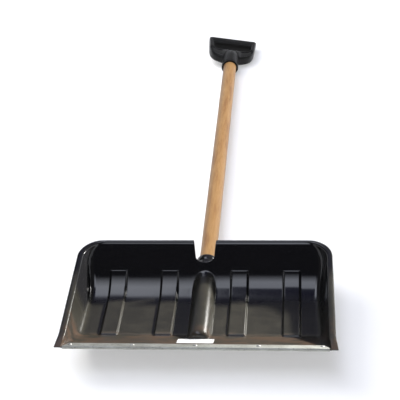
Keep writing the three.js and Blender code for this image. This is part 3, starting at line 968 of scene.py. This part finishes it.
class Paint(Nodes):
    """A node material for one kind of surface, in the row frame's metres."""

    def __init__(self, name):
        self.material = bpy.data.materials.new(name)
        self.material.use_nodes = True
        super().__init__(self.material.node_tree, "Object")
        self.shader = self.tree.nodes["Principled BSDF"]

    def set(self, **values):
        for key, value in values.items():
            self.feed(self.shader.inputs[key.replace("_", " ")], value)

    def bump(self, height, distance, strength):
        inputs = {"Height": height, "Distance": distance, "Strength": strength}
        self.feed(self.shader.inputs["Normal"], self.add("ShaderNodeBump", inputs).outputs["Normal"])


# Where the dry dirt lies, and where painted shade darkens the side walls and the back, in metres: along Y
# from the leading edge, and in X out from the middle.
LEADING_Y = -ORIGIN_Y / 1000
DUST_AND_SHADE_FADE = (0.25, 0.205)
HUMP_DUST_FADE = (0.256, 0.238)
HUMP_SIDE = (0.027, 0.023)
EARTH_FADE = (0.105, 0.075)
SIDE_WALL_IN = (0.236, 0.242)
SIDE_WALL_OUT = (0.256, 0.252)
CLEAN = (0.0045, 0.0045, 0.005, 1)
CLEAN_WORN = (0.008, 0.0077, 0.0074, 1)
FILM_THIN = (0.0105, 0.0101, 0.0082, 1)
FILM_THICK = (0.0165, 0.0155, 0.012, 1)
FILM_SCRAPED = (0.034, 0.031, 0.025, 1)
FILM_SPECK = (0.028, 0.024, 0.018, 1)
FILM_RUBBED = (0.008, 0.0078, 0.0066, 1)
# Painted shade on the side walls: the film there is darkened towards this colour.
WALL_PAINTED_SHADE = (0.0055, 0.0054, 0.0046, 1)
EARTH = (0.0275, 0.0172, 0.0118, 1)


def scoop_paint():
    """Black polypropylene, dulled by a thin brownish film of dry dirt, with scrape marks along Y; painted
    shade darkens the side walls and the back.
    """
    paint = Paint("scoop_black_plastic")
    scrape = paint.noise(34, (9, 0.5, 9), 6, 0.7)
    fine = paint.noise(95, (8, 0.8, 8), 3, 0.6, (0.3, 0, 0))
    cloud = paint.noise(7, detail=5, rough=0.7)
    speck = paint.noise(420, detail=2)
    blotch = paint.noise(24, (1, 2.2, 1), 5, 0.6, (0.1, 0.7, 0))
    along_y = paint.maths("SUBTRACT", paint.axis("Y"), LEADING_Y)
    out = paint.maths("ABSOLUTE", paint.axis("X"))
    near_lip = paint.between(along_y, *EARTH_FADE)
    on_hump = paint.maths("MULTIPLY", paint.between(out, *HUMP_SIDE), paint.between(along_y, *HUMP_DUST_FADE))
    shaded_wall = paint.maths("MULTIPLY", paint.between(out, *SIDE_WALL_IN), paint.between(out, *SIDE_WALL_OUT))
    uneven = paint.maths("ADD", along_y, paint.maths("MULTIPLY", cloud, 0.05))
    # Painted shade: on the side walls the dirt fades out sooner towards the back, which leaves them dark.
    uneven = paint.maths("ADD", uneven, paint.maths("MULTIPLY", shaded_wall, 0.045))
    # Dust, and painted shade: where the dirt fades out towards the back and up the walls, the plastic is left
    # dark as where shade falls.
    dust_and_shade = paint.maths("MAXIMUM", paint.between(uneven, *DUST_AND_SHADE_FADE), on_hump)
    lines = paint.ramp(scrape, (0.5, 0.0), (0.74, 1.0))
    thin = paint.ramp(fine, (0.58, 0.0), (0.72, 1.0))
    worn = paint.maths("ADD", paint.maths("MULTIPLY", lines, 0.5), paint.maths("MULTIPLY", thin, 0.35))
    film = paint.mix(paint.ramp(cloud, (0.34, 0.0), (0.68, 1.0)), FILM_THIN, FILM_THICK)
    film = paint.tint(film, worn, 0.45, FILM_SCRAPED)
    film = paint.tint(film, paint.ramp(speck, (0.48, 0.0), (0.7, 1.0)), 0.4, FILM_SPECK)
    film = paint.mix(paint.ramp(blotch, (0.44, 0.5), (0.56, 0.0)), film, FILM_RUBBED)
    # Painted shade: the film on the side walls is darkened.
    film = paint.tint(film, shaded_wall, 0.55, WALL_PAINTED_SHADE)
    earth = paint.maths("MULTIPLY", paint.ramp(blotch, (0.44, 0.1), (0.56, 1.0)), near_lip)
    film = paint.tint(film, earth, 0.8, EARTH)
    clean = paint.mix(worn, CLEAN, CLEAN_WORN)
    paint.set(Base_Color=paint.mix(dust_and_shade, clean, film))
    rough = paint.maths("MULTIPLY", dust_and_shade, paint.ramp(cloud, (0.3, 0.18), (0.75, 0.25)))
    rough = paint.maths("ADD", paint.ramp(blotch, (0.3, 0.09), (0.7, 0.12)), rough)
    paint.set(Roughness=rough, Specular_IOR_Level=0.55)
    height = paint.mix(0.35, paint.noise(16, detail=2), scrape)
    paint.bump(height, 0.0005, 0.16)
    return paint.material


def grip_paint():
    """Satin black plastic with a fine moulded grain."""
    paint = Paint("grip_black_plastic")
    grain = paint.noise(900, detail=3)
    cloud = paint.noise(18, detail=4)
    paint.set(Base_Color=paint.mix(cloud, (0.005, 0.0051, 0.0056, 1), (0.0085, 0.0083, 0.008, 1)))
    paint.set(Roughness=paint.ramp(cloud, (0.3, 0.26), (0.7, 0.38)), Specular_IOR_Level=0.16)
    paint.bump(grain, 0.00018, 0.5)
    return paint.material


def metal_paint(name, bright, dark, scratch_along, low_rough, high_rough):
    """Bare metal with scratches along one axis and dull patches."""
    paint = Paint(name)
    stretch = tuple(0.35 if axis == scratch_along else 9 for axis in "XYZ")
    scratches = paint.noise(55, stretch, 5, 0.65)
    patches = paint.noise(26, detail=5, rough=0.65)
    pits = paint.noise(310, detail=3)
    shade = paint.mix(paint.ramp(patches, (0.36, 0.0), (0.66, 1.0)), dark, bright)
    pit_colour = (*(0.3 * c for c in dark[:3]), 1)
    shade = paint.mix(paint.ramp(pits, (0.28, 0.7), (0.42, 0.0)), shade, pit_colour)
    paint.set(Base_Color=shade, Metallic=1.0)
    paint.set(Roughness=paint.ramp(scratches, (0.3, low_rough), (0.7, high_rough)))
    paint.bump(paint.mix(0.5, scratches, pits), 0.0003, 0.5)
    return paint.material


def wood_paint():
    """Light varnished beech: long grain lines along Y, short dark flecks and slow colour changes."""
    paint = Paint("handle_wood")
    rings = paint.noise(30, (2.4, 0.3, 2.4), 6, 0.62)
    fibre = paint.noise(240, (4, 0.14, 4), 4, 0.6, (0.2, 0.1, 0))
    fleck = paint.noise(170, (3, 0.5, 3), 2, 0.5, (0, 0.4, 0))
    tone = paint.noise(3.2, (1, 0.7, 1), 3)
    colour = paint.ramp(
        rings,
        (0.36, (0.23, 0.105, 0.034, 1)), (0.48, (0.37, 0.205, 0.075, 1)),
        (0.6, (0.425, 0.25, 0.1, 1)), (0.7, (0.29, 0.142, 0.046, 1)),
    )
    colour = paint.mix(paint.ramp(fibre, (0.42, 0.0), (0.7, 0.6)), colour, (0.21, 0.1, 0.038, 1))
    colour = paint.mix(paint.ramp(fleck, (0.66, 0.0), (0.74, 0.55)), colour, (0.14, 0.066, 0.028, 1))
    colour = paint.mix(paint.ramp(tone, (0.35, 0.0), (0.7, 0.35)), colour, (0.41, 0.24, 0.102, 1))
    paint.set(Base_Color=colour, Roughness=paint.ramp(fibre, (0.3, 0.42), (0.7, 0.58)))
    paint.set(Coat_Weight=0.12, Coat_Roughness=0.3)
    paint.bump(paint.mix(0.5, rings, fibre), 0.0004, 0.5)
    return paint.material


def label_paint():
    """White coated paper, with faint fibres."""
    paint = Paint("label_white")
    fibre = paint.noise(600, (1, 0.4, 1), 4)
    cloud = paint.noise(40, detail=3)
    shade = paint.mix(paint.ramp(fibre, (0.35, 0.0), (0.7, 0.25)), (0.9, 0.9, 0.88, 1), (0.8, 0.79, 0.76, 1))
    paint.set(Base_Color=shade, Roughness=paint.ramp(cloud, (0.3, 0.45), (0.7, 0.6)))
    paint.bump(fibre, 0.0001, 0.4)
    return paint.material


# ---- the shovel ----
# Three groups, which the lights tell apart: blade, trim (strip, rivets and label) and pole.
steel = metal_paint("zinc_steel", (0.56, 0.57, 0.57, 1), (0.36, 0.36, 0.35, 1), "X", 0.25, 0.4)
blade = [scoop(scoop_paint())]
sheet_metal = metal_paint("strip_aluminium", (0.56, 0.57, 0.53, 1), (0.4, 0.4, 0.36, 1), "X", 0.55, 0.7)
trim = [wear_strip(sheet_metal)]
rivet_steel = metal_paint("rivet_steel", (0.62, 0.62, 0.6, 1), (0.42, 0.42, 0.4, 1), "Z", 0.38, 0.55)
for number, place in enumerate(RIVET_X):
    trim.append(rivet(number, place, rivet_steel))
pole = [handle(wood_paint()), d_grip(grip_paint())]
for screw_name, screw_y, tube_radius, screw_twist in SCREWS:
    pole.append(screw(screw_name, screw_y, tube_radius, screw_twist, steel))
trim.append(label(label_paint()))


# ---- floor, world and lights ----
# In metres.
FLOOR_HALF = 20
FLOOR_FLAT = 6
FLOOR_BELOW = 0.0006
BACKDROP_RISE = 0.035


def pale_floor():
    """A wide sheet just under the shovel, which curves up far away as a studio backdrop."""
    count = 60
    steps = np.linspace(-FLOOR_HALF, FLOOR_HALF, count + 1)
    points = []
    for y in steps:
        for x in steps:
            past = max(0, math.hypot(x, y) - FLOOR_FLAT)
            points.append((x, y, BACKDROP_RISE * past**2 - FLOOR_BELOW))
    faces = []
    for j in range(count):
        for i in range(count):
            k = j * (count + 1) + i
            faces.append([k, k + 1, k + count + 2, k + count + 1])
    mesh = bpy.data.meshes.new("floor")
    mesh.from_pydata(points, [], faces)
    mesh.shade_smooth()
    ground = added("floor", mesh)
    paint = Paint("floor_pale")
    shade = paint.mix(paint.noise(3), (0.83, 0.83, 0.83, 1), (0.86, 0.86, 0.86, 1))
    paint.set(Base_Color=shade, Roughness=0.9)
    mesh.materials.append(paint.material)
    return ground


# Degrees from the horizon ahead, over the top, to the horizon behind, with the light's colour there:
# to the left and to the right of SKY_SPLIT in the direction's x.
SKY_LEFT = [
    (0, (0.5, 0.5, 0.5)), (28, (0.6, 0.6, 0.6)), (36, (0.1, 0.1, 0.16)), (56, (0.1, 0.1, 0.22)),
    (67, (2.9, 3.05, 3.5)), (92, (3.4, 3.55, 4.0)), (104, (2.2, 2.3, 2.6)),
    (120, (0.06, 0.06, 0.08)), (180, (0.12, 0.12, 0.12)),
]
SKY_RIGHT = SKY_LEFT[:3] + [
    (74, (0.1, 0.1, 0.22)), (88, (0.25, 0.27, 0.42)),
    (92, (2.7, 2.85, 3.3)), (108, (2.9, 3.05, 3.5)),
    (126, (0.06, 0.06, 0.08)), (180, (0.12, 0.12, 0.12)),
]
SKY_SPLIT = (-0.105, -0.075)
SOFTBOX_X = (-0.36, 0.16)
SOFTBOX_FADE = 0.05
AROUND = (0.12, 0.12, 0.13, 1)
# The low lamp over the blade, in the working frame.
LAMP_PLACE = (515, 647, 247)
LAMP_TARGET = (0, 150, -40)
LAMP_COLOUR = (1.0, 0.98, 0.94)


def sky():
    """Studio surroundings by direction: a long softbox overhead, pointing along Y, in a dim room."""
    world = bpy.data.worlds.new("studio")
    bpy.context.scene.world = world
    world.use_nodes = True
    nodes = Nodes(world.node_tree, "Generated")
    x, y, z = (nodes.axis(name) for name in "XYZ")
    over = nodes.maths("DIVIDE", nodes.maths("ARCTAN2", z, y), math.pi)
    sides = [
        nodes.ramp(over, *[(degrees / 180, (*colour, 1)) for degrees, colour in stops])
        for stops in (SKY_LEFT, SKY_RIGHT)
    ]
    light = nodes.mix(nodes.between(x, *SKY_SPLIT), *sides)
    low_x, high_x = SOFTBOX_X
    past_low = nodes.between(x, low_x - SOFTBOX_FADE, low_x)
    inside_box = nodes.maths("MULTIPLY", past_low, nodes.between(x, high_x + SOFTBOX_FADE, high_x))
    light = nodes.mix(inside_box, AROUND, light)
    nodes.feed(world.node_tree.nodes["Background"].inputs["Color"], light)


def hang(name, lamp, at, target, lit):
    """Puts a light at a place, facing a target and lighting the listed objects only."""
    holder = added(name, lamp)
    holder.location = at
    holder.rotation_mode = "QUATERNION"
    holder.rotation_quaternion = (Vector(target) - Vector(at)).to_track_quat("-Z", "Y")
    holder.visible_camera = False
    group = bpy.data.collections.new(f"lit_by_{name}")
    for piece in lit:
        group.objects.link(piece)
    holder.light_linking.receiver_collection = group
    return holder


def softbox(name, at, target, side, power_w, colour, lit, even=False):
    """A square light; an even one is as bright far off as near."""
    lamp = bpy.data.lights.new(name, "AREA")
    lamp.shape = "RECTANGLE"
    lamp.size = side
    lamp.size_y = side
    lamp.energy = power_w
    lamp.color = colour
    if even:
        lamp.use_nodes = True
        tree = lamp.node_tree
        falloff = tree.nodes.new("ShaderNodeLightFalloff")
        falloff.inputs["Strength"].default_value = 1
        tree.links.new(falloff.outputs["Constant"], tree.nodes["Emission"].inputs["Strength"])
    return hang(name, lamp, at, target, lit)


def floor_wash(ground, strength):
    """Even light on the whole floor, without shadows."""
    lamp = bpy.data.lights.new("floor_wash", "SUN")
    lamp.energy = strength
    holder = hang("floor_wash", lamp, (0, 0, 4), (0, 0, 0), [ground])
    holder.light_linking.blocker_collection = holder.light_linking.receiver_collection


ground = pale_floor()
sky()
floor_wash(ground, 1.5)
softbox("key", (-1.9, 0.8, 2.4), (0, -0.1, 0), 1.7, 56, (1.0, 0.985, 0.95), [ground])
pole_light = softbox("pole_light", (1.1, -0.1, 1.9), (0, 0.1, 0), 1.2, 60, (1.0, 0.975, 0.92), pole)
pole_light.visible_glossy = False
lamp_at, lamp_to = to_row([LAMP_PLACE, LAMP_TARGET])
blade_lamp = softbox("blade_lamp", lamp_at, lamp_to, 0.03, 92, LAMP_COLOUR, blade, even=True)
blade_lamp.visible_glossy = False
softbox("blade_glint", lamp_at, lamp_to, 0.16, 6.5, LAMP_COLOUR, blade, even=True)
softbox("trim_lamp", lamp_at, lamp_to, 0.3, 16, LAMP_COLOUR, trim, even=True)


# ---- camera ----
CAMERA_EYE = (196.8, -1461.5, 1334.9)
CAMERA_YAW = math.radians(-6.529)
CAMERA_DOWN = math.radians(34.186)
CAMERA_ROLL = math.radians(-3.846)
CAMERA_LENS = 94.58


def front_camera():
    """Stands in front of the scoop, a little to its right, looking down along the handle."""
    lens = bpy.data.cameras.new("camera")
    lens.sensor_width = 36
    lens.lens = CAMERA_LENS
    turn = Matrix.Rotation(-CAMERA_YAW, 4, "Z") @ Matrix.Rotation(math.pi / 2 - CAMERA_DOWN, 4, "X")
    turn = turn @ Matrix.Rotation(CAMERA_ROLL, 4, "Z")
    eye = Vector(to_row([CAMERA_EYE])[0])
    camera = added("camera", lens)
    camera.matrix_world = Matrix.Translation(eye) @ turn
    bpy.context.scene.camera = camera


front_camera()
bpy.context.scene.view_settings.view_transform = "Standard"
